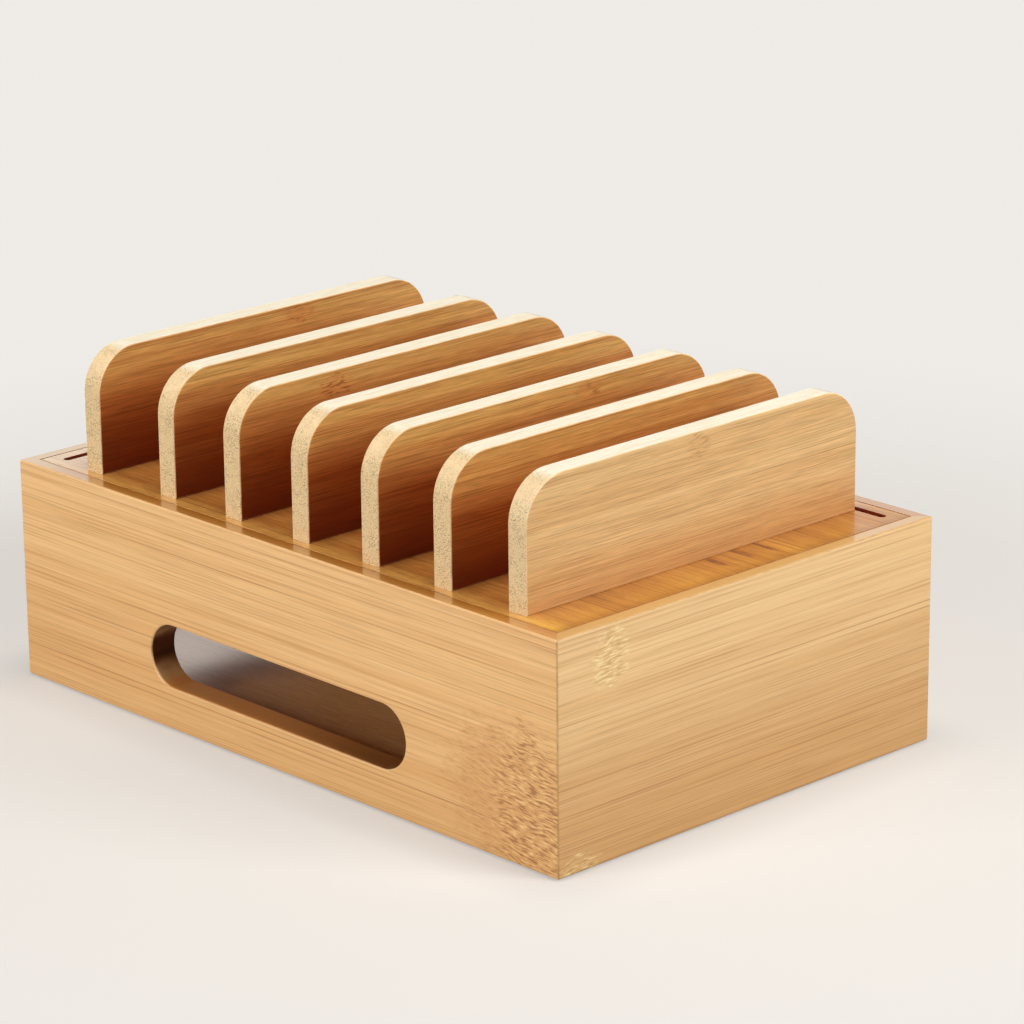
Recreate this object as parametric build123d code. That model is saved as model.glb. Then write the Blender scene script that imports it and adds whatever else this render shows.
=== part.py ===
from build123d import *
import os

os.makedirs("parts", exist_ok=True)

# Charging station organizer in lacquered bamboo: a mitred box with a cable hole in its left wall
# and a lead outlet in its rear wall, a deck that drops into the top of the box, and a row of
# upright dividers that plug into the deck.
# Lengths are in millimetres. X runs along the dividers, Y from the front wall to the rear wall,
# Z is up, and the origin lies on the table under the middle of the box.

# Box
box_width = 175.0
box_length = 270.0
box_height = 80.0
wall_thickness = 10.0
outer_edge_radius = 0.8
under_edge_radius = 0.8

# Feet under the two long walls
foot_diameter = 7.0
foot_thickness = 1.5
foot_stand = 0.5
foot_from_corner = 20.0
foot_clearance = 0.1
foot_edge_radius = 0.2

# Bottom panel, held in a groove that runs round inside the walls
bottom_panel_thickness = 4.0
bottom_panel_rise = 4.0
bottom_groove_depth = 4.0
bottom_panel_clearance = 0.15

# Cable hole through the left wall, and the outlet through the rear wall
cable_hole_length = 129.0
cable_hole_height = 22.5
cable_hole_rise = 15.7
outlet_length = 110.0
outlet_height = 22.5
outlet_rise = 12.0
hole_edge_radius = 0.8

# Thin tongues glued across the mitred corners
spline_width = 7.0
spline_thickness = 2.4
spline_top_margin = 6.0
spline_bottom_margin = 6.0
spline_clearance = 0.05

# Deck, laid on a shelf inside the lip of the walls
deck_thickness = 8.0
lip_width = 5.0
deck_clearance = 0.25
deck_edge_radius = 0.4

# Narrow slots through the deck, along the rear wall and along the right wall
deck_slot_width = 3.0
deck_slot_from_wall = 0.3
deck_slot_end_margin = 0.8
deck_slot_land = 6.0

# Dividers
divider_count = 7
divider_thickness = 8.5
divider_height = 44.0
divider_left_margin = 9.0
divider_right_margin = 13.5
divider_front_margin = 22.5
divider_rear_margin = 27.0
divider_rear_gap = 31.5
divider_corner_radius = 16.0
divider_edge_radius = 0.6

# Tongue under each divider, and the groove that takes it
tongue_thickness = 6.0
tongue_depth = 4.0
tongue_end_inset = 8.0
groove_clearance = 0.1
groove_floor_clearance = 0.3

# Every cut runs past the solid it cuts by this much
overrun = 1.0

# Places worked out from the sizes
half_width = box_width / 2
half_length = box_length / 2
inner_half_width = half_width - wall_thickness
inner_half_length = half_length - wall_thickness
shelf_height = box_height - deck_thickness
bottom_panel_low = foot_stand + bottom_panel_rise
bottom_panel_high = bottom_panel_low + bottom_panel_thickness
divider_low_x = divider_left_margin - half_width
divider_high_x = half_width - divider_right_margin
divider_row_length = box_length - divider_front_margin - divider_rear_margin
even_gap_count = divider_count - 2
divider_gap = (divider_row_length - divider_count * divider_thickness - divider_rear_gap) / even_gap_count
corner_aligned = (Align.MIN, Align.MIN, Align.MIN)
base_aligned = (Align.CENTER, Align.CENTER, Align.MIN)


def block(x_low, x_high, y_low, y_high, z_low, z_high):
    # a plain box between two opposite corners
    solid = Box(x_high - x_low, y_high - y_low, z_high - z_low, align=corner_aligned)
    return Pos(x_low, y_low, z_low) * solid


def centred_block(half_x, half_y, z_low, z_high):
    return block(-half_x, half_x, -half_y, half_y, z_low, z_high)


def divider_front(index):
    # Y of a divider's front face, counted from the front divider, whose index is 0
    if index == divider_count - 1:
        return half_length - divider_rear_margin - divider_thickness
    return divider_front_margin - half_length + index * (divider_thickness + divider_gap)


def foot_places():
    x_place = half_width - wall_thickness / 2
    y_place = half_length - foot_from_corner
    return {
        "foot_front_left": (-x_place, -y_place),
        "foot_front_right": (x_place, -y_place),
        "foot_rear_left": (-x_place, y_place),
        "foot_rear_right": (x_place, y_place),
    }


def foot_pad(x_place, y_place):
    pad = Cylinder(foot_diameter / 2, foot_thickness, align=base_aligned)
    pad = fillet(pad.edges().group_by(Axis.Z)[0], foot_edge_radius)
    return Pos(x_place, y_place, 0) * pad


def foot_recess(x_place, y_place):
    recess_depth = foot_thickness - foot_stand
    cutter = Cylinder(foot_diameter / 2 + foot_clearance, recess_depth + overrun, align=base_aligned)
    return Pos(x_place, y_place, foot_stand - overrun) * cutter


def corner_places():
    # middle of each mitred corner, with the turn that lays a tongue square across the mitre
    x_place = half_width - wall_thickness / 2
    y_place = half_length - wall_thickness / 2
    return {
        "spline_front_left": (-x_place, -y_place, -45),
        "spline_front_right": (x_place, -y_place, 45),
        "spline_rear_left": (-x_place, y_place, 45),
        "spline_rear_right": (x_place, y_place, -45),
    }


def corner_spline(x_place, y_place, turn, clearance):
    z_low = bottom_panel_high + spline_bottom_margin - clearance
    z_high = shelf_height - spline_top_margin + clearance
    plate = Box(
        spline_width + 2 * clearance,
        spline_thickness + 2 * clearance,
        z_high - z_low,
        align=base_aligned,
    )
    return Pos(x_place, y_place, z_low) * Rot(0, 0, turn) * plate


def wall_hole(hole_length, hole_height, hole_rise, half_across, turn):
    # round-ended hole through one wall alone, made for the wall at low X and then turned about Z
    outline = Plane.YZ * SlotOverall(hole_length, hole_height)
    cutter = extrude(outline, amount=wall_thickness + 2 * overrun)
    hole_middle = hole_rise + hole_height / 2
    return Rot(0, 0, turn) * Pos(-half_across - overrun, 0, hole_middle) * cutter


def wall_ring():
    # the four walls in one piece, before the mitres part them
    ring = centred_block(half_width, half_length, foot_stand, box_height)
    upper_edges = ring.edges().filter_by(Axis.Z) + ring.edges().group_by(Axis.Z)[-1]
    ring = fillet(upper_edges, outer_edge_radius)
    ring = fillet(ring.edges().group_by(Axis.Z)[0], under_edge_radius)
    ring -= centred_block(inner_half_width, inner_half_length, foot_stand - overrun, box_height + overrun)
    ring -= centred_block(
        half_width - lip_width, half_length - lip_width, shelf_height, box_height + overrun
    )
    ring -= centred_block(
        inner_half_width + bottom_groove_depth,
        inner_half_length + bottom_groove_depth,
        bottom_panel_low - bottom_panel_clearance,
        bottom_panel_high + bottom_panel_clearance,
    )
    for x_place, y_place in foot_places().values():
        ring -= foot_recess(x_place, y_place)
    for x_place, y_place, turn in corner_places().values():
        ring -= corner_spline(x_place, y_place, turn, spline_clearance)
    return ring


def mitred_wall(ring, along_x, side):
    # one wall of the ring, cut off at 45 degrees through both its corners
    out = overrun
    depth = wall_thickness + overrun
    half_run = half_width if along_x else half_length
    half_across = half_length if along_x else half_width
    corners = [
        (half_run + out, half_across + out),
        (-half_run - out, half_across + out),
        (-half_run + depth, half_across - depth),
        (half_run - depth, half_across - depth),
    ]
    placed = []
    for run, across in corners:
        placed.append((run, side * across) if along_x else (side * across, run))
    wedge = extrude(make_face(Polyline(*placed, close=True)), amount=box_height + overrun, dir=(0, 0, 1))
    return ring & wedge


def left_wall(ring):
    hole = wall_hole(cable_hole_length, cable_hole_height, cable_hole_rise, half_width, 0)
    wall = mitred_wall(ring, False, -1) - hole
    outer_face = wall.faces().filter_by(Axis.X).sort_by(Axis.X)[0]
    return fillet(outer_face.inner_wires()[0].edges(), hole_edge_radius)


def rear_wall(ring):
    outlet = wall_hole(outlet_length, outlet_height, outlet_rise, half_length, -90)
    wall = mitred_wall(ring, True, 1) - outlet
    outer_face = wall.faces().filter_by(Axis.Y).sort_by(Axis.Y)[-1]
    return fillet(outer_face.inner_wires()[0].edges(), hole_edge_radius)


def bottom_panel():
    reach = bottom_groove_depth - bottom_panel_clearance
    return centred_block(
        inner_half_width + reach, inner_half_length + reach, bottom_panel_low, bottom_panel_high
    )


def deck_slot(x_low, x_high, y_low, y_high):
    # one narrow slot with round ends, through the whole deck
    x_size = x_high - x_low
    y_size = y_high - y_low
    turn = 0 if x_size > y_size else 90
    outline = Rot(0, 0, turn) * SlotOverall(max(x_size, y_size), deck_slot_width)
    cutter = extrude(outline, amount=deck_thickness + 2 * overrun)
    return Pos((x_low + x_high) / 2, (y_low + y_high) / 2, shelf_height - overrun) * cutter


def rear_deck_slot():
    y_high = inner_half_length - deck_slot_from_wall
    x_high = inner_half_width - deck_slot_end_margin
    return deck_slot(-x_high, x_high, y_high - deck_slot_width, y_high)


def right_deck_slot():
    x_high = inner_half_width - deck_slot_from_wall
    y_low = deck_slot_end_margin - inner_half_length
    y_high = inner_half_length - deck_slot_from_wall - deck_slot_width - deck_slot_land
    return deck_slot(x_high - deck_slot_width, x_high, y_low, y_high)


def tongue(index, clearance, floor_clearance, top):
    # the tongue under a divider, or with clearances the groove that takes it
    middle = divider_front(index) + divider_thickness / 2
    half_tongue = tongue_thickness / 2 + clearance
    return block(
        divider_low_x + tongue_end_inset - clearance,
        divider_high_x - tongue_end_inset + clearance,
        middle - half_tongue,
        middle + half_tongue,
        box_height - tongue_depth - floor_clearance,
        top,
    )


def deck():
    lip_gap = lip_width + deck_clearance
    panel = centred_block(half_width - lip_gap, half_length - lip_gap, shelf_height, box_height)
    panel = fillet(panel.edges().group_by(Axis.Z)[-1], deck_edge_radius)
    for index in range(divider_count):
        panel -= tongue(index, groove_clearance, groove_floor_clearance, box_height + overrun)
    return panel - rear_deck_slot() - right_deck_slot()


def divider(index):
    front = divider_front(index)
    board = block(
        divider_low_x,
        divider_high_x,
        front,
        front + divider_thickness,
        box_height,
        box_height + divider_height,
    )
    board = fillet(board.edges().filter_by(Axis.Y).group_by(Axis.Z)[-1], divider_corner_radius)
    board = fillet(board.faces().filter_by(Axis.Y).edges(), divider_edge_radius)
    return board + tongue(index, 0, 0, box_height + divider_edge_radius + overrun)


def write_part(node, solid):
    solid.label = node
    export_step(solid, "parts/" + node + ".step")


ring = wall_ring()
write_part("left_wall", left_wall(ring))
write_part("right_wall", mitred_wall(ring, False, 1))
write_part("front_wall", mitred_wall(ring, True, -1))
write_part("rear_wall", rear_wall(ring))
write_part("bottom_panel", bottom_panel())
for node, (x_place, y_place, turn) in corner_places().items():
    write_part(node, corner_spline(x_place, y_place, turn, 0))
for node, (x_place, y_place) in foot_places().items():
    write_part(node, foot_pad(x_place, y_place))
write_part("deck", deck())
for index in range(divider_count):
    write_part("divider_" + str(index + 1), divider(index))
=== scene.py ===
import math

import bpy
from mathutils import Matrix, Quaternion, Vector

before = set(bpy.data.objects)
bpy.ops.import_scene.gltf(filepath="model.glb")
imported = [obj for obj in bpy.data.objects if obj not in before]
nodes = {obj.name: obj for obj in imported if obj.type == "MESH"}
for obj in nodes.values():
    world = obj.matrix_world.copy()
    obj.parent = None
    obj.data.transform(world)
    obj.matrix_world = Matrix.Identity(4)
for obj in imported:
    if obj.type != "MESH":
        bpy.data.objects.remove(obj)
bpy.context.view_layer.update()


# Camera

camera = {
    "lens": 148.55,                          # on a 36 mm wide sensor
    "place": (-0.93697, -1.01118, 0.51201),
    "aim": (0.0, -0.02338, 0.0763),
    "roll": -0.58,                           # degrees, the picture leans a little
}


def makeCamera():
    data = bpy.data.cameras.new("camera")
    data.lens = camera["lens"]
    body = bpy.data.objects.new("camera", data)
    bpy.context.scene.collection.objects.link(body)
    place = Vector(camera["place"])
    level = (Vector(camera["aim"]) - place).to_track_quat("-Z", "Y")
    body.location = place
    body.rotation_mode = "QUATERNION"
    body.rotation_quaternion = level @ Quaternion((0, 0, 1), math.radians(camera["roll"]))
    bpy.context.scene.camera = body


# Light and floor

studio = {
    "fill": 0.1,                             # world light on the object
    "backColor": (1, 0.95, 0.89, 1),         # what the lacquer mirrors
    "floorColor": (0.8, 0.77, 0.735, 1),     # as the camera sees it near the object
    "bounceColor": (0.5, 0.465, 0.43, 1),    # what it sends back to the object
    "farColor": (0.86, 0.835, 0.8, 1),       # floor and backdrop, seen away from the object
    "nearShare": 0.42,                       # how much of that even colour is there near the object
    "nearEdge": 0.2,
    "farEdge": 0.5,
    "floorSize": 12.0,
    "floorRough": 0.9,
    "floorGloss": 0.1,
    "lampColor": (1, 0.98, 0.95),
}
lamps = {                                    # "mirrored": whether the lacquer shows the lamp
    "lampTop": {"at": (0.0, -0.05, 1.5), "size": 0.6, "power": 10.2, "mirrored": False},
    "lampLeft": {"at": (-1.6, 0.28, 0.5), "size": 0.7, "power": 17.9, "mirrored": True},
    "lampFront": {"at": (0.45, -1.32, 0.75), "size": 0.7, "power": 17.2, "mirrored": True},
}


def makeLamps():
    for name, lamp in lamps.items():
        data = bpy.data.lights.new(name, "AREA")
        data.size = lamp["size"]
        data.energy = lamp["power"]
        data.color = studio["lampColor"]
        body = bpy.data.objects.new(name, data)
        bpy.context.scene.collection.objects.link(body)
        body.location = lamp["at"]
        body.rotation_euler = (-Vector(lamp["at"])).to_track_quat("-Z", "Y").to_euler()
        body.visible_glossy = lamp["mirrored"]


def makeWorld():
    world = bpy.data.worlds.new("studioWorld")
    world.use_nodes = True
    bpy.context.scene.world = world
    tree = world.node_tree
    tree.nodes.clear()
    path = tree.nodes.new("ShaderNodeLightPath")
    seen = mathNode(tree, "MAXIMUM", path.outputs["Is Camera Ray"], path.outputs["Is Glossy Ray"])
    seen = mathNode(tree, "MAXIMUM", seen, path.outputs["Is Transmission Ray"])
    back = tree.nodes.new("ShaderNodeBackground")
    shown = mixColor(tree, path.outputs["Is Camera Ray"], studio["backColor"], studio["farColor"])
    tree.links.new(shown, back.inputs["Color"])
    strength = mapRange(tree, seen, 0, 1, studio["fill"], 1)
    tree.links.new(strength, back.inputs["Strength"])
    out = tree.nodes.new("ShaderNodeOutputWorld")
    tree.links.new(back.outputs[0], out.inputs["Surface"])


def makeFloor():
    half = studio["floorSize"] / 2
    corners = [(-half, -half, 0), (half, -half, 0), (half, half, 0), (-half, half, 0)]
    mesh = bpy.data.meshes.new("floor")
    mesh.from_pydata(corners, [], [(0, 1, 2, 3)])
    floor = bpy.data.objects.new("floor", mesh)
    bpy.context.scene.collection.objects.link(floor)
    material, tree, shader = newMaterial("paleFloor")
    path = tree.nodes.new("ShaderNodeLightPath")
    seen = mixColor(tree, path.outputs["Is Camera Ray"], studio["bounceColor"], studio["floorColor"])
    tree.links.new(seen, shader.inputs["Base Color"])
    shader.inputs["Roughness"].default_value = studio["floorRough"]
    shader.inputs["Specular IOR Level"].default_value = studio["floorGloss"]

    # away from the object the camera sees one even pale colour, near it the floor and its shadow
    place = tree.nodes.new("ShaderNodeTexCoord").outputs["Object"]
    x, y = split(tree, place)[:2]
    distance = mathNode(tree, "SQRT", plus(tree, times(tree, x, x), times(tree, y, y)))
    away = mapRange(tree, distance, studio["nearEdge"], studio["farEdge"], studio["nearShare"], 1, True)
    glow = tree.nodes.new("ShaderNodeEmission")
    glow.inputs["Color"].default_value = studio["farColor"]
    blend = tree.nodes.new("ShaderNodeMixShader")
    tree.links.new(times(tree, away, path.outputs["Is Camera Ray"]), blend.inputs[0])
    tree.links.new(shader.outputs[0], blend.inputs[1])
    tree.links.new(glow.outputs[0], blend.inputs[2])
    out = next(node for node in tree.nodes if node.type == "OUTPUT_MATERIAL")
    tree.links.new(blend.outputs[0], out.inputs["Surface"])
    mesh.materials.append(material)


# Node helpers

def newMaterial(name):
    material = bpy.data.materials.new(name)
    material.use_nodes = True
    tree = material.node_tree
    tree.nodes.clear()
    shader = tree.nodes.new("ShaderNodeBsdfPrincipled")
    out = tree.nodes.new("ShaderNodeOutputMaterial")
    tree.links.new(shader.outputs[0], out.inputs["Surface"])
    return material, tree, shader


def plug(tree, value, socket):
    # a socket is linked, anything else is typed in
    if isinstance(value, bpy.types.NodeSocket):
        tree.links.new(value, socket)
    else:
        socket.default_value = value


def mathNode(tree, operation, first, second=0.0, third=0.0):
    node = tree.nodes.new("ShaderNodeMath")
    node.operation = operation
    for socket, value in zip(node.inputs, (first, second, third)):
        plug(tree, value, socket)
    return node.outputs[0]


def times(tree, *factors):
    result = factors[0]
    for factor in factors[1:]:
        result = mathNode(tree, "MULTIPLY", result, factor)
    return result


def plus(tree, *parts):
    result = parts[0]
    for part in parts[1:]:
        result = mathNode(tree, "ADD", result, part)
    return result


def rest(tree, mask):
    # what a mask leaves out
    return mathNode(tree, "SUBTRACT", 1.0, mask)


def mapRange(tree, value, low, high, newLow=0.0, newHigh=1.0, smooth=False):
    node = tree.nodes.new("ShaderNodeMapRange")
    node.interpolation_type = "SMOOTHSTEP" if smooth else "LINEAR"
    for socket, given in zip(node.inputs, (value, low, high, newLow, newHigh)):
        plug(tree, given, socket)
    return node.outputs[0]


def mixColor(tree, factor, first, second, blend="MIX"):
    node = tree.nodes.new("ShaderNodeMix")
    node.data_type = "RGBA"
    node.blend_type = blend
    plug(tree, factor, node.inputs[0])
    plug(tree, first, node.inputs[6])
    plug(tree, second, node.inputs[7])
    return node.outputs[2]


def noise(tree, vector, scale, detail=2.0, rough=0.5):
    node = tree.nodes.new("ShaderNodeTexNoise")
    plug(tree, vector, node.inputs["Vector"])
    node.inputs["Scale"].default_value = scale
    node.inputs["Detail"].default_value = detail
    node.inputs["Roughness"].default_value = rough
    return node.outputs["Fac"]


def stretch(tree, vector, scale, shift=(0, 0, 0)):
    node = tree.nodes.new("ShaderNodeMapping")
    plug(tree, vector, node.inputs["Vector"])
    node.inputs["Scale"].default_value = scale
    node.inputs["Location"].default_value = shift
    return node.outputs[0]


def split(tree, vector):
    node = tree.nodes.new("ShaderNodeSeparateXYZ")
    plug(tree, vector, node.inputs[0])
    return node.outputs[0], node.outputs[1], node.outputs[2]


def join(tree, x, y, z):
    node = tree.nodes.new("ShaderNodeCombineXYZ")
    for socket, value in zip(node.inputs, (x, y, z)):
        plug(tree, value, socket)
    return node.outputs[0]


# Bamboo. A board's own directions are along its grain, across its face and into its depth.

bamboo = {
    "stripWidth": 0.0062,                    # the boards are glued up from narrow strips
    "stripUneven": 0.55,
    "wander": 0.00013,                       # how far a fibre strays from straight
    "lineGap": 0.0021,                       # from one dark line to the next, about
    "lineWidth": 0.00042,
    "lineLength": 0.11,
    "lineFade": (0.2, 0.45),                 # what stays of it where lines are few, and of the palest
    "hairGap": 0.001,                        # the same for the finer lines between them
    "hairWidth": 0.00028,
    "hairLength": 0.05,
    "hairDark": 0.6,                         # share that is dark, the others are pale threads
    "breaks": (0.4, 0.58),                   # where a line stops and where it is whole
    "depthLean": 0.8,                        # how far a line shifts on its way into the board
    "dashGap": 0.00075,                      # short strokes where the cane had a node
    "dashLength": 0.0045,
    "dashLean": -0.09,
    "dashSwirl": 0.0016,
    "dashDark": (0.49, 0.36),
    "dashPale": (0.54, 0.66),
    "knuckleRagged": 0.55,
    "fibreGap": 0.0005,
    "fibreLength": 0.03,
    "pipeGap": 0.00062,                      # dots of the end grain
    "pipeEdge": (0.25, 0.55),
    "pipeFade": 0.3,                         # what stays of them in pale patches
    "sawnStreak": 0.8,
    "topLine": 0.6,
    "arrisFade": 0.4,                          # what stays of the arris colour in patches
    "roughSpan": (-0.04, 0.06),              # the lacquer's unevenness
    "lineRough": 0.08,
    "arrisRough": 0.25,
    "fibreBump": 0.5,
    "bumpDepth": 0.0001,
}
waves = {                                    # patterns in waves per metre: along, across and in
    "bend": (11, 50, 50),
    "gather": (4, 200, 120),
    "cloud": (3, 170, 60),
    "swirl": (90, 130, 130),
    "ragged": (170, 420, 420),
    "pipePatch": 300.0,                      # the last two are the same all ways
    "arrisPatch": 240.0,
}
window = {                                   # a pattern's value where it starts to tell, and in full
    "gather": (0.35, 0.62),
    "cloud": (0.35, 0.65),
    "fibre": (0.25, 0.75),
    "streak": (0.4, 0.75),
    "pipePatch": (0.35, 0.6),
    "arrisPatch": (0.35, 0.7),
    "sheen": (0.3, 0.7),
    "knuckle": (0.55, 1.05),
}
looksTo = {                                  # how far a face looks some way: at first, and in full
    "level": (0.6, 0.95),
    "coatTop": (0.5, 0.95),
    "litSill": (0.2, 0.95),
    "rear": (0.3, 0.8),
    "end": (0.15, 0.5),
    "edge": (0.35, 0.8),
    "through": (0.25, 0.8),
    "upright": (0.3, 0.9),
    "mitre": (0.05, 0.3),
    "flat": (0.8, 0.985),
}
lineShift = {"line": 1.3, "hair": 2.6}       # sets the two kinds of line apart


def strokes(tree, along, level, name):
    # thin lines at uneven distances, each with stops and starts of its own
    gap, width, length = (bamboo[name + part] for part in ("Gap", "Width", "Length"))
    lines = tree.nodes.new("ShaderNodeTexVoronoi")
    lines.voronoi_dimensions = "1D"
    lines.inputs["Scale"].default_value = 1 / gap
    tree.links.new(level, lines.inputs["W"])
    own, pick = split(tree, lines.outputs["Color"])[:2]
    thin = mapRange(tree, lines.outputs["Distance"], 0.0, width / gap, 1, 0, True)
    place = join(tree, mathNode(tree, "DIVIDE", along, length), times(tree, own, 40.0), 0.0)
    runs = mapRange(tree, noise(tree, place, 1.0, 1.0), *bamboo["breaks"], 0, 1, True)
    return times(tree, thin, runs), pick


def makeFibreGroup():
    # one group for every board: what the fibres do, without any colour
    tree = bpy.data.node_groups.new("bambooFibres", "ShaderNodeTree")
    sockets = tree.interface
    sockets.new_socket("Board", in_out="INPUT", socket_type="NodeSocketVector")
    for name in ("Strip", "Line", "Hair", "Thread", "Fibre", "Cloud", "Pipes"):
        sockets.new_socket(name, in_out="OUTPUT", socket_type="NodeSocketFloat")
    into = tree.nodes.new("NodeGroupInput")
    out = tree.nodes.new("NodeGroupOutput")
    board = into.outputs[0]

    bend = noise(tree, stretch(tree, board, waves["bend"]), 1.0, 1.0)
    bend = mapRange(tree, bend, 0, 1, -bamboo["wander"], bamboo["wander"])
    along, across, depth = split(tree, board)
    across = plus(tree, across, bend)
    strayed = join(tree, along, across, depth)

    strip = tree.nodes.new("ShaderNodeTexVoronoi")
    strip.voronoi_dimensions = "1D"
    strip.inputs["Scale"].default_value = 1 / bamboo["stripWidth"]
    strip.inputs["Randomness"].default_value = bamboo["stripUneven"]
    tree.links.new(across, strip.inputs["W"])
    tree.links.new(split(tree, strip.outputs["Color"])[0], out.inputs["Strip"])

    # strong lines, then finer ones of which some are dark and some are pale threads
    few, palest = bamboo["lineFade"]
    level = plus(tree, across, times(tree, depth, bamboo["depthLean"]))
    gather = noise(tree, stretch(tree, strayed, waves["gather"], (3, 1, 2)), 1.0, 1.0)
    line, pick = strokes(tree, along, plus(tree, level, lineShift["line"]), "line")
    gather = mapRange(tree, gather, *window["gather"], few, 1)
    line = times(tree, line, gather, mapRange(tree, pick, 0, 1, palest, 1))
    tree.links.new(line, out.inputs["Line"])
    hair, pick = strokes(tree, along, plus(tree, level, lineShift["hair"]), "hair")
    dark = mathNode(tree, "LESS_THAN", pick, bamboo["hairDark"])
    tree.links.new(times(tree, hair, dark), out.inputs["Hair"])
    tree.links.new(times(tree, hair, rest(tree, dark)), out.inputs["Thread"])

    gap, length = bamboo["fibreGap"], bamboo["fibreLength"]
    fibre = noise(tree, stretch(tree, strayed, (1 / length, 1 / gap, 0.5 / gap)), 1.0, 2.0, 0.7)
    tree.links.new(fibre, out.inputs["Fibre"])

    cloud = noise(tree, stretch(tree, strayed, waves["cloud"], (5, 3, 1)), 1.0, 2.0)
    tree.links.new(cloud, out.inputs["Cloud"])

    pipes = tree.nodes.new("ShaderNodeTexVoronoi")
    pipes.inputs["Scale"].default_value = 1.0
    gap = bamboo["pipeGap"]
    tree.links.new(stretch(tree, board, (0.4 / gap, 1 / gap, 1 / gap)), pipes.inputs["Vector"])
    dots = mapRange(tree, pipes.outputs["Distance"], *bamboo["pipeEdge"], 1, 0, True)
    patchy = noise(tree, board, waves["pipePatch"], 2.0)
    patchy = mapRange(tree, patchy, *window["pipePatch"], bamboo["pipeFade"], 1)
    tree.links.new(times(tree, dots, patchy), out.inputs["Pipes"])
    return tree


def fibresOf(tree, board, grain):
    # the group's patterns on one board, stretched along and across it
    group = tree.nodes.new("ShaderNodeGroup")
    group.node_tree = fibreGroup
    tree.links.new(stretch(tree, board, (*grain, 1)), group.inputs["Board"])
    return group.outputs


def boardPlace(tree, turn):
    # object coordinates, and the same with the axes that turn names put along, across and in
    place = tree.nodes.new("ShaderNodeTexCoord").outputs["Object"]
    parts = dict(zip("XYZ", split(tree, place)))
    return join(tree, *(parts[axis] for axis in turn)), place


def facing(tree):
    # how much a face looks along X, Y and Z, to the rear and up, and how much it is an arris
    normal = split(tree, tree.nodes.new("ShaderNodeTexCoord").outputs["Normal"])
    x, y, z = (mathNode(tree, "ABSOLUTE", part) for part in normal)
    flat = mathNode(tree, "MAXIMUM", mathNode(tree, "MAXIMUM", x, y), z)
    arris = mapRange(tree, flat, *looksTo["flat"], 1, 0, True)
    level = mapRange(tree, normal[2], *looksTo["level"], 0, 1, True)
    return {"X": x, "Y": y, "Z": z, "rear": normal[1], "up": normal[2], "arris": arris, "level": level}


def knuckleMask(tree, board, knuckle):
    # soft ragged oval where the cane had a node; the place is along and across the board
    parts = []
    for part, at, half in zip(split(tree, board)[:2], knuckle["at"], knuckle["half"]):
        parts.append(mathNode(tree, "DIVIDE", mathNode(tree, "SUBTRACT", part, at), half))
    u, v = parts
    reach = mathNode(tree, "SQRT", plus(tree, times(tree, u, u), times(tree, v, v)))
    ragged = noise(tree, stretch(tree, board, waves["ragged"]), 1.0, 2.0, 0.6)
    ragged = mapRange(tree, ragged, 0, 1, -bamboo["knuckleRagged"], bamboo["knuckleRagged"])
    return mapRange(tree, plus(tree, reach, ragged), *window["knuckle"], 1, 0, True)


def fadeMask(tree, place, fade):
    # full at one place along an axis, and softly down to nothing over its reach
    part = split(tree, place)["XYZ".index(fade["axis"])]
    return mapRange(tree, part, fade["at"], fade["at"] + fade["reach"], fade["tone"], 0, True)


def boreMask(tree, faces, place, bore):
    # the routed faces inside a wall's hole: those that look across the wall's own normal
    placeX, placeY, placeZ = split(tree, place)
    along = placeY if bore["through"] == "X" else placeX
    return times(
        tree,
        mathNode(tree, "LESS_THAN", mathNode(tree, "ABSOLUTE", along), bore["half"]),
        mathNode(tree, "GREATER_THAN", placeZ, bore["low"]),
        mathNode(tree, "LESS_THAN", placeZ, bore["high"]),
        mapRange(tree, faces[bore["through"]], *looksTo["through"], 1, 0, True),
    )


def slotMask(tree, faces, place, slots):
    # the upright faces of the deck's two narrow slots, not those round its rim or in its grooves
    beyond, within = [], []
    for part, start, rim in zip(split(tree, place), slots["from"], slots["rim"]):
        beyond.append(mathNode(tree, "GREATER_THAN", part, start))
        within.append(mathNode(tree, "LESS_THAN", mathNode(tree, "ABSOLUTE", part), rim))
    upright = mapRange(tree, faces["Z"], *looksTo["upright"], 1, 0, True)
    return times(tree, mathNode(tree, "MAXIMUM", *beyond), *within, upright)


def longGrain(tree, look, fibres, place, faces):
    # strip tone, slow clouds and pale threads, then painted light and shade along set axes, then hair
    # lines, dark lines and fine fibres
    strip = mapRange(tree, fibres["Strip"], 0, 1, 0, look["stripTone"])
    cloud = mapRange(tree, fibres["Cloud"], *window["cloud"], 0, look["cloudTone"])
    color = mixColor(tree, strip, look["pale"], look["deep"])
    color = mixColor(tree, cloud, color, look["warm"])
    color = mixColor(tree, times(tree, fibres["Thread"], look["threadTone"]), color, look["light"])
    # painted light and shade: each entry paints shade, light or a sheen along one axis; those along X and
    # Y go on level faces only
    for fade in look["paintedLightAndShade"]:
        mask = fadeMask(tree, place, fade)
        if fade["axis"] != "Z":
            mask = times(tree, mask, faces["level"])
        # on faces that look to the rear only a share of the painted shade stays
        if "rearShadeShare" in look:
            mask = times(tree, mask, mapRange(tree, faces["rear"], *looksTo["rear"], 1, look["rearShadeShare"]))
        color = mixColor(tree, mask, color, fade["color"], fade.get("blend", "MIX"))
    color = mixColor(tree, times(tree, fibres["Hair"], look["hairTone"]), color, look["dark"])
    color = mixColor(tree, times(tree, fibres["Line"], look["lineTone"]), color, look["dark"])
    tint = mapRange(tree, fibres["Fibre"], *window["fibre"], 1 - look["fibreTone"], 1 + look["fibreTone"])
    return mixColor(tree, 1.0, color, join(tree, tint, tint, tint), "MULTIPLY")


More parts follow.
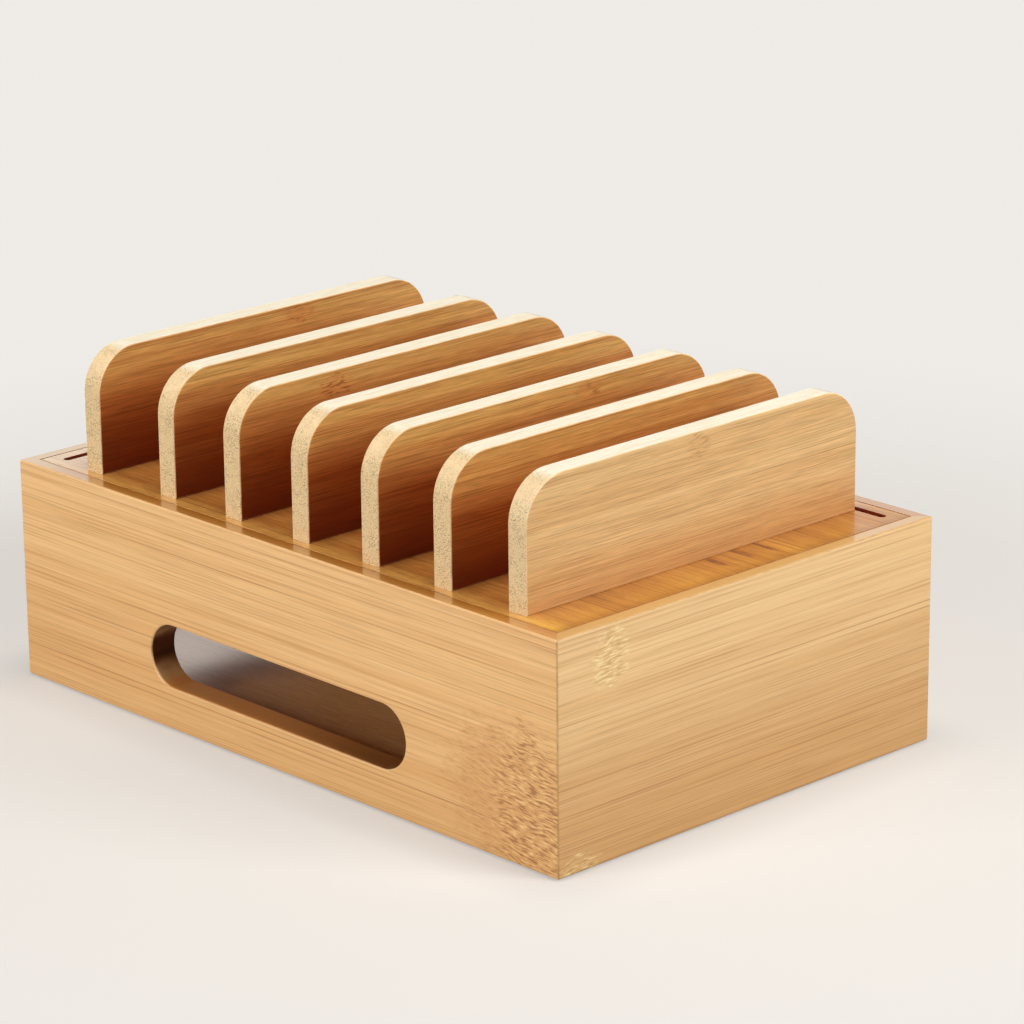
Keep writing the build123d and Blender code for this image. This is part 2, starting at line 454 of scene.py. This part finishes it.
def addKnuckles(tree, look, board, knuckles, color):
    # knuckles of the cane: short dark and pale strokes that lean across the grain
    knot = 0.0
    along, across, depth = split(tree, board)
    swirl = noise(tree, stretch(tree, board, waves["swirl"], (4, 2, 6)), 1.0, 1.0)
    swirl = mapRange(tree, swirl, 0, 1, -bamboo["dashSwirl"], bamboo["dashSwirl"])
    inward = plus(tree, times(tree, depth, bamboo["depthLean"]), swirl)
    row = plus(tree, across, times(tree, along, bamboo["dashLean"]), inward)
    along = mathNode(tree, "DIVIDE", along, bamboo["dashLength"])
    row = mathNode(tree, "DIVIDE", row, bamboo["dashGap"])
    dash = noise(tree, join(tree, along, row, 0.0), 1.0, 1.5, 0.6)
    darkDash = mapRange(tree, dash, *bamboo["dashDark"], 0, 1, True)
    paleDash = mapRange(tree, dash, *bamboo["dashPale"], 0, 1, True)
    for knuckle in knuckles:
        mask = knuckleMask(tree, board, knuckle)
        dark = times(tree, darkDash, mask, knuckle["dark"])
        pale = times(tree, paleDash, mask, knuckle["pale"])
        color = mixColor(tree, times(tree, mask, knuckle["stain"]), color, look["stain"])
        color = mixColor(tree, dark, color, look["knuckleDark"])
        color = mixColor(tree, pale, color, look["knucklePale"])
        knot = mathNode(tree, "MAXIMUM", knot, dark)
    return color, knot


def addSawn(tree, look, fibres, faces, color):
    # sawn edges and ends are paler, and the ends show the pipes
    streaks = mapRange(tree, fibres["Fibre"], *window["streak"], 0, bamboo["sawnStreak"])
    sawn = mixColor(tree, streaks, look["sawn"], look["sawnDeep"])
    dotted = mixColor(tree, times(tree, fibres["Pipes"], look["pipeTone"]), look["end"], look["pipe"])
    sawn = mixColor(tree, mapRange(tree, faces["X"], *looksTo["end"], 0, 1, True), sawn, dotted)
    return mixColor(tree, mapRange(tree, faces["Y"], *looksTo["edge"], 1, 0, True), color, sawn)


def addTop(tree, look, fibres, place, faces, color):
    # the level edge of a wall; its entries paint shade along the seam with the deck and, on the plain
    # walls, a sheen toward the rear
    top = mixColor(tree, times(tree, fibres["Line"], bamboo["topLine"]), look["top"], look["topDeep"])
    for fade in look["topShadeAndSheen"]:
        top = mixColor(tree, fadeMask(tree, place, fade), top, fade["color"])
    return mixColor(tree, faces["level"], color, top)


def addBore(tree, look, place, faces, bore, color):
    # the routed faces of a hole: those that look up take the light colour, the rest the dark one, which is
    # painted light and shade as well as darker end grain at the ends; toward the front the hole's lower
    # face takes painted shade
    litSill = mapRange(tree, faces["up"], *looksTo["litSill"], 0, 1, True)
    litSill = times(tree, litSill, rest(tree, fadeMask(tree, place, look["sillShade"])))
    routed = mixColor(tree, litSill, look["boreShadeAndEndGrain"], look["bore"])
    return mixColor(tree, boreMask(tree, faces, place, bore), color, routed)


def tintArrises(tree, look, place, faces, color):
    # each look gives its arrises a colour of their own, in patches: pale on the walls and dividers, partly
    # lacquer worn thin and partly a painted highlight, darker on the front wall as painted shade that
    # damps its highlight, and a dark joint line on the deck and panel; on the upright arrises of the walls
    # the mitre joint shows
    arrisPatches = noise(tree, place, waves["arrisPatch"], 2.0)
    arrisPatches = mapRange(tree, arrisPatches, *window["arrisPatch"], bamboo["arrisFade"], 1)
    arrisColor = look["arrisColor"]
    if "mitre" in look:
        lying = mapRange(tree, faces["Z"], *looksTo["mitre"], 0, 1)
        arrisColor = mixColor(tree, lying, look["mitre"], arrisColor)
    return mixColor(tree, times(tree, faces["arris"], arrisPatches, look["arrisTone"]), color, arrisColor)


def addLacquer(tree, shader, look, fibres, place, faces):
    # roughness that is a little uneven, more on lines and arrises, then the clear coat
    low, high = (look["rough"] + part for part in bamboo["roughSpan"])
    onLines = times(tree, fibres["Line"], bamboo["lineRough"])
    onArrises = times(tree, faces["arris"], bamboo["arrisRough"])
    rough = mapRange(tree, fibres["Cloud"], *window["sheen"], low, high)
    rough = plus(tree, rough, onLines, onArrises)
    tree.links.new(rough, shader.inputs["Roughness"])
    topCoat = look.get("coatTop", look["coat"])
    coat = mapRange(tree, faces["up"], *looksTo["coatTop"], look["coat"], topCoat)
    coat = times(tree, coat, mapRange(tree, faces["arris"], 0, 1, 1, look.get("coatArris", 0.2)))
    if "dull" in look:
        coat = times(tree, coat, rest(tree, fadeMask(tree, place, look["dull"])))
    tree.links.new(coat, shader.inputs["Coat Weight"])
    shader.inputs["Coat Roughness"].default_value = look["coatRough"]
    shader.inputs["Coat IOR"].default_value = look.get("coatIor", 1.5)
    shader.inputs["IOR"].default_value = look.get("ior", 1.5)
    shader.inputs["Specular IOR Level"].default_value = look.get("specular", 0.5)
    shader.inputs["Specular Tint"].default_value = look.get("glossTint", (1, 1, 1, 1))


def addRipples(tree, shader, look, fibres, knot):
    # open grain and ripples in the lacquer
    height = times(tree, fibres["Fibre"], bamboo["fibreBump"])
    height = mathNode(tree, "SUBTRACT", height, fibres["Line"])
    height = mathNode(tree, "SUBTRACT", height, knot)
    bump = tree.nodes.new("ShaderNodeBump")
    bump.inputs["Strength"].default_value = look["bump"]
    bump.inputs["Distance"].default_value = bamboo["bumpDepth"]
    tree.links.new(height, bump.inputs["Height"])
    tree.links.new(bump.outputs[0], shader.inputs["Normal"])


def makeBamboo(name, look, turn, knuckles=(), bore=None):
    material, tree, shader = newMaterial(name)
    board, place = boardPlace(tree, turn)
    faces = facing(tree)
    fibres = fibresOf(tree, board, look["grain"])
    knot = 0.0
    color = longGrain(tree, look, fibres, place, faces)
    if knuckles:
        color, knot = addKnuckles(tree, look, board, knuckles, color)
    if "sawn" in look:
        color = addSawn(tree, look, fibres, faces, color)
    if "top" in look:
        color = addTop(tree, look, fibres, place, faces, color)
    if bore:
        color = addBore(tree, look, place, faces, bore, color)
    if "cut" in look:
        color = mixColor(tree, slotMask(tree, faces, place, look["slots"]), color, look["cut"])
    color = tintArrises(tree, look, place, faces, color)
    tree.links.new(color, shader.inputs["Base Color"])
    addLacquer(tree, shader, look, fibres, place, faces)
    addRipples(tree, shader, look, fibres, knot)
    return material


def shade(red, green, blue):
    # a colour as it looks on a screen, 0 to 255, turned to linear light
    parts = []
    for value in (red, green, blue):
        value = value / 255
        parts.append(value / 12.92 if value <= 0.04045 else ((value + 0.055) / 1.055) ** 2.4)
    return (*parts, 1)


def paint(node, material):
    mesh = nodes[node].data
    mesh.materials.clear()
    mesh.materials.append(material)


# Walls

wallLook = {
    "pale": shade(244, 200, 138), "deep": shade(232, 182, 116), "warm": shade(222, 164, 100),
    "light": shade(252, 218, 166), "dark": shade(170, 104, 44), "grain": (1, 1),
    "stripTone": 0.35, "cloudTone": 0.55, "lineTone": 0.6, "hairTone": 0.42, "threadTone": 0.4,
    "fibreTone": 0.1,
    # painted shade: the walls darker toward the bottom
    "paintedLightAndShade": [{"axis": "Z", "at": 0.005, "reach": 0.045, "tone": 0.28, "color": shade(206, 146, 78)}],
    "stain": shade(218, 162, 100), "knuckleDark": shade(160, 102, 54), "knucklePale": shade(252, 214, 146),
    "top": shade(204, 146, 74), "topDeep": shade(160, 98, 32),
    # painted on the wall tops: shade along the left wall's seam with the deck, and a pale sheen over the
    # rear part
    "topShadeAndSheen": [
        {"axis": "X", "at": -0.0825, "reach": -0.005, "tone": 0.75, "color": shade(178, 112, 28)},
        {"axis": "Y", "at": 0.135, "reach": -0.034, "tone": 0.8, "color": shade(238, 204, 152)},
    ],
    # routed faces: a lit colour for those that look up and a dark one for the rest, painted light and
    # shade with darker end grain; painted shade toward the front of the hole's lower face
    "bore": shade(250, 164, 84), "boreShadeAndEndGrain": shade(90, 48, 26),
    "sillShade": {"axis": "Y", "at": -0.06, "reach": 0.075, "tone": 0.75},
    # arrises a little paler: partly lacquer worn thin, partly a painted highlight
    "arrisTone": 0.8, "arrisColor": shade(238, 194, 138), "mitre": shade(170, 126, 70),
    "rough": 0.36, "coat": 0.3, "coatTop": 1.0, "coatRough": 0.12, "coatIor": 1.9, "bump": 0.2,
}
frontWallLook = dict(
    wallLook, pale=shade(242, 205, 149), deep=shade(232, 189, 129), warm=shade(222, 175, 113),
    light=shade(252, 224, 174), dark=shade(166, 106, 46),
    # painted shade: the front wall darker toward the bottom
    paintedLightAndShade=[{"axis": "Z", "at": 0.01, "reach": 0.058, "tone": 0.55, "color": shade(192, 136, 70)}],
    stain=shade(246, 214, 150), knuckleDark=shade(190, 146, 84),
    knucklePale=shade(255, 236, 176), top=shade(206, 160, 88), topDeep=shade(180, 118, 44),
    # painted shade along the front wall's seam with the deck
    topShadeAndSheen=[{"axis": "Y", "at": -0.13, "reach": -0.0008, "tone": 0.6, "color": shade(170, 108, 36)}],
    # darker arrises, painted shade that damps the front wall's highlight
    arrisColor=shade(184, 140, 84),
)
wallKnuckles = {
    "left_wall": [
        {"at": (-0.113, 0.022), "half": (0.032, 0.03), "stain": 0.7, "dark": 0.3, "pale": 0.2},
        {"at": (-0.123, 0.02), "half": (0.02, 0.033), "stain": 0.3, "dark": 0.75, "pale": 0.6},
    ],
    "front_wall": [
        {"at": (-0.064, 0.068), "half": (0.009, 0.012), "stain": 0.35, "dark": 0.6, "pale": 0.9},
        {"at": (-0.079, 0.001), "half": (0.011, 0.007), "stain": 0.2, "dark": 0.9, "pale": 0.7},
    ],
    "right_wall": [{"at": (0.07, 0.03), "half": (0.012, 0.02), "stain": 0.4, "dark": 0.7, "pale": 0.35}],
    "rear_wall": [{"at": (0.064, 0.05), "half": (0.01, 0.014), "stain": 0.3, "dark": 0.5, "pale": 0.5}],
}
bores = {
    "left_wall": {"through": "X", "half": 0.0655, "low": 0.015, "high": 0.039},
    "rear_wall": {"through": "Y", "half": 0.056, "low": 0.0115, "high": 0.035},
}


def dressWalls():
    for node, knuckles in wallKnuckles.items():
        turn = "XZY" if node in ("front_wall", "rear_wall") else "YZX"
        look = frontWallLook if node == "front_wall" else wallLook
        paint(node, makeBamboo(node + "Bamboo", look, turn, knuckles, bores.get(node)))
    print("walls:", len(wallKnuckles), "boards")


# Deck, bottom panel and splines

panelLook = {
    "pale": shade(252, 198, 136), "deep": shade(240, 180, 116), "warm": shade(234, 168, 102),
    "light": shade(252, 204, 146), "dark": shade(150, 94, 50), "grain": (6, 0.9),
    "stripTone": 0.5, "cloudTone": 0.5, "lineTone": 0.3, "hairTone": 0.2, "threadTone": 0.5,
    "fibreTone": 0.12, "paintedLightAndShade": [],
    "arrisTone": 1.0, "arrisColor": shade(120, 70, 26), "coatArris": 0.0,
    "rough": 0.16, "coat": 1.0, "coatRough": 0.16, "ior": 2.9, "glossTint": (1, 0.84, 0.74, 1),
    "bump": 0.15,
}
deckLook = {
    "pale": shade(220, 156, 80), "deep": shade(178, 110, 47), "warm": shade(192, 120, 51),
    "light": shade(234, 176, 100), "dark": shade(120, 62, 24), "grain": (6, 0.9),
    "stripTone": 0.8, "cloudTone": 0.5, "lineTone": 0.75, "hairTone": 0.5, "threadTone": 0.5,
    "fibreTone": 0.12, "stain": shade(132, 72, 24),
    "knuckleDark": shade(110, 56, 18), "knucklePale": shade(228, 168, 92),
    # painted light and shade on the deck's top: lighter along the left edge, deeper and darker over the
    # front band and most at its seam, and a pale painted sheen over the rear part
    "paintedLightAndShade": [
        {"axis": "X", "at": -0.08225, "reach": 0.011, "tone": 0.85, "color": shade(248, 186, 96)},
        {
            "axis": "Y", "at": -0.12975, "reach": 0.028, "tone": 1, "color": (0.88, 0.9, 0.4, 1),
            "blend": "MULTIPLY",
        },
        {"axis": "Y", "at": -0.12975, "reach": 0.005, "tone": 0.6, "color": shade(160, 100, 10)},
        {"axis": "Y", "at": 0.12975, "reach": -0.03, "tone": 0.85, "color": shade(252, 216, 164)},
    ],
    "cut": shade(184, 86, 56), "slots": {"from": (0.069, 0.118), "rim": (0.0805, 0.1275)},
    "dull": {"axis": "Y", "at": -0.116, "reach": 0.016, "tone": 0.75},
    "arrisTone": 1.0, "arrisColor": shade(120, 70, 26), "coatArris": 0.0,
    "rough": 0.3, "coat": 1.0, "coatRough": 0.1, "coatIor": 1.75, "bump": 0.15,
}
deckKnuckles = [
    {"at": (-0.117, 0.0015), "half": (0.0065, 0.0016), "stain": 0.9, "dark": 0.4, "pale": 0.2},
    {"at": (-0.1165, 0.014), "half": (0.006, 0.0015), "stain": 0.8, "dark": 0.4, "pale": 0.2},
    {"at": (-0.118, 0.0243), "half": (0.007, 0.0015), "stain": 0.9, "dark": 0.4, "pale": 0.2},
]
splineLook = dict(wallLook, pale=shade(200, 150, 92), deep=shade(176, 124, 70), coat=0.0)


def dressInside():
    paint("deck", makeBamboo("deckBamboo", deckLook, "YXZ", deckKnuckles))
    paint("bottom_panel", makeBamboo("panelBamboo", panelLook, "YXZ"))
    splineBamboo = makeBamboo("splineBamboo", splineLook, "XZY")
    splines = [node for node in nodes if node.startswith("spline_")]
    for node in splines:
        paint(node, splineBamboo)
    print("inside: deck, bottom panel and", len(splines), "splines")


# Dividers

# dividers behind the front one: the same bamboo in darker, deeper colours, a painted shade of the narrow
# gaps between them
shadedDividerLook = {
    "pale": shade(217, 170, 97), "deep": shade(203, 147, 76), "warm": shade(185, 114, 54),
    "light": shade(219, 181, 116), "dark": shade(120, 61, 25), "grain": (2.4, 1.35),
    "stripTone": 0.3, "cloudTone": 0.6, "lineTone": 0.5, "hairTone": 0.45, "threadTone": 0.45,
    "fibreTone": 0.28,
    # painted shade: darker and redder toward the foot, down in the gaps
    "paintedLightAndShade": [
        {
            "axis": "Z", "at": 0.102, "reach": 0.021, "tone": 1, "color": (0.95, 0.55, 0.45, 1),
            "blend": "MULTIPLY",
        },
        {"axis": "Z", "at": 0.08, "reach": 0.028, "tone": 0.88, "color": shade(110, 26, 11)},
    ],
    "stain": shade(206, 122, 62), "knuckleDark": shade(126, 66, 34), "knucklePale": shade(232, 164, 100),
    "sawn": shade(248, 240, 215), "sawnDeep": shade(232, 212, 176),
    "end": shade(230, 202, 154), "pipe": shade(150, 126, 98), "pipeTone": 0.85,
    # pale arrises: partly lacquer worn thin, partly a painted highlight
    "arrisTone": 0.7, "arrisColor": shade(248, 220, 176),
    "rough": 0.36, "specular": 0.25, "coat": 0.12, "coatRough": 0.16, "bump": 0.25,
}
frontDividerLook = dict(
    shadedDividerLook, pale=shade(231, 194, 135), deep=shade(219, 174, 113), warm=shade(207, 158, 97),
    light=shade(244, 206, 150), dark=shade(158, 104, 50), grain=(2.2, 1.3), fibreTone=0.2, hairTone=0.5,
    # painted shade: darker toward the foot, most just above the deck
    paintedLightAndShade=[
        {"axis": "Z", "at": 0.076, "reach": 0.044, "tone": 0.42, "color": shade(196, 136, 76)},
        {"axis": "Z", "at": 0.081, "reach": 0.011, "tone": 0.4, "color": shade(180, 116, 56)},
    ],
    stain=shade(206, 154, 94), knuckleDark=shade(156, 104, 58), knucklePale=shade(240, 200, 142),
    specular=0.5, coat=0.35,
)
# the last divider's rear face is open, so it keeps a quarter of the painted shade there
dividerLooks = {"divider_1": frontDividerLook, "divider_7": dict(shadedDividerLook, rearShadeShare=0.25)}
dividerKnuckles = {
    "divider_1": [{"at": (-0.002, 0.119), "half": (0.006, 0.005), "stain": 0.3, "dark": 0.5, "pale": 0.2}],
    "divider_3": [{"at": (0.017, 0.12), "half": (0.007, 0.004), "stain": 0.3, "dark": 0.5, "pale": 0.2}],
    "divider_5": [{"at": (-0.035, 0.118), "half": (0.008, 0.005), "stain": 0.3, "dark": 0.7, "pale": 0.2}],
    "divider_7": [{"at": (0.012, 0.12), "half": (0.009, 0.004), "stain": 0.3, "dark": 0.5, "pale": 0.2}],
}


def dressDividers():
    dividers = sorted(node for node in nodes if node.startswith("divider_"))
    for node in dividers:
        look = dividerLooks.get(node, shadedDividerLook)
        paint(node, makeBamboo(node + "Bamboo", look, "XZY", dividerKnuckles.get(node, [])))
    print("dividers:", len(dividers))


# Feet

footLook = {
    "color": shade(38, 36, 34),
    "speck": shade(70, 66, 62),
    "speckTone": 0.6,
    "grit": 2200.0,                          # specks, in waves per metre
    "rough": (0.65, 0.85),
}


def dressFeet():
    material, tree, shader = newMaterial("footRubber")
    place = tree.nodes.new("ShaderNodeTexCoord").outputs["Object"]
    grit = noise(tree, place, footLook["grit"], 2.0)
    specks = mapRange(tree, grit, 0.55, 0.8, 0, footLook["speckTone"])
    color = mixColor(tree, specks, footLook["color"], footLook["speck"])
    tree.links.new(color, shader.inputs["Base Color"])
    rough = mapRange(tree, grit, *window["sheen"], *footLook["rough"])
    tree.links.new(rough, shader.inputs["Roughness"])
    feet = [node for node in nodes if node.startswith("foot_")]
    for node in feet:
        paint(node, material)
    print("feet:", len(feet))


makeCamera()
makeLamps()
makeWorld()
makeFloor()
bpy.context.scene.view_settings.view_transform = "Standard"
print("stage: camera, lamps, world and floor")

fibreGroup = makeFibreGroup()
dressWalls()
dressInside()
dressDividers()
dressFeet()
print("finishes:", len(bpy.data.materials), "materials")
